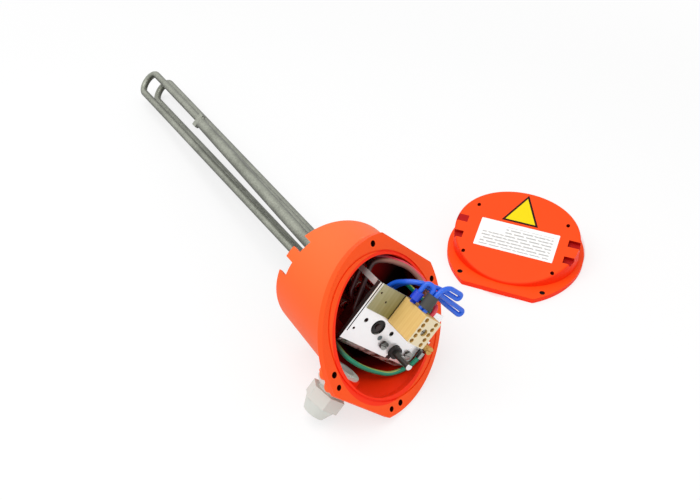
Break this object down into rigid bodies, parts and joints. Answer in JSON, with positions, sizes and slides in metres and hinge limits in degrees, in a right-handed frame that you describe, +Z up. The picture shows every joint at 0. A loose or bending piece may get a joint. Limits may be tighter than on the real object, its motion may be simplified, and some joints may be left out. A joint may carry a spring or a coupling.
{
  "type": "immersion heater",
  "caption": "Screw-in immersion heater with hairpin rods and a probe pocket on a threaded plug, its terminal housing open and the cover laid beside it.",
  "frame": {"origin": "middle of the base of the bounding box, on the table", "axes": "+Z up, +Y away from the viewer of the picture, +X to the viewer's right; the rods run back and to the left"},
  "size_m": [0.488, 0.5474, 0.1327],
  "materials": {
    "housing": "satin moulded",
    "cover": "satin moulded",
    "brass": "turned",
    "gasket": "matt",
    "steel": "plated",
    "rod": "satin drawn",
    "ceramic": "matt",
    "copper": "drawn copper colour",
    "plate": "bright plated",
    "sheet": "satin",
    "block": "satin",
    "dark_plastic": "matt",
    "button": "satin",
    "gland": "satin",
    "blue": "satin",
    "red": "satin",
    "brown": "satin",
    "green": "satin, yellow stripe",
    "sleeve": "matt",
    "blue_boot": "satin"
  },
  "bodies": {
    "heater": {"block_screw": "steel", "block_terminals": "brass", "bracket": "plate", "bracket_screws": "steel", "cover": "cover", "crimp_terminal": "blue_boot", "cutout_body": "dark_plastic", "cutout_bulb": "copper", "cutout_lid": "dark_plastic", "earth_lug": "steel", "earth_screw": "brass", "earth_studs": "brass", "gland_body": "gland", "gland_locknut": "gland", "gland_nut": "gland", "gland_seal": "gasket", "heating_element_1": "rod", "heating_element_2": "rod", "housing": "housing", "insulating_sheet": "sheet", "lead_blue_1": "blue", "lead_blue_2": "blue", "lead_blue_3": "blue", "lead_brown": "brown", "lead_earth_1": "green", "lead_earth_2": "green", "lead_red": "red", "lead_sleeve": "sleeve", "link_bars": "brass", "plug_gasket": "gasket", "plug_screws": "steel", "probe_pocket": "rod", "regulator_body": "dark_plastic", "regulator_bulb": "copper", "regulator_lid": "dark_plastic", "regulator_screws": "steel", "screw_plug": "brass", "terminal_block": "block", "terminal_insulators": "ceramic", "terminal_studs": "steel"},
    "spindle": {"control_spindle": "steel"},
    "reset": {"reset_button": "button"}
  },
  "joints": [
    {"name": "spindle_turn", "type": "hinge", "parent": "heater", "child": "spindle", "pos_m": [0.04906, -0.21068, 0.03758], "axis": [0.4898, -0.8678, 0.0838], "range_deg": [0, 270]},
    {"name": "reset_push", "type": "slide", "parent": "heater", "child": "reset", "axis": [-0.4898, 0.8678, -0.0838], "range_m": [0, 0.0015], "stiffness_N_per_m": 400}
  ]
}
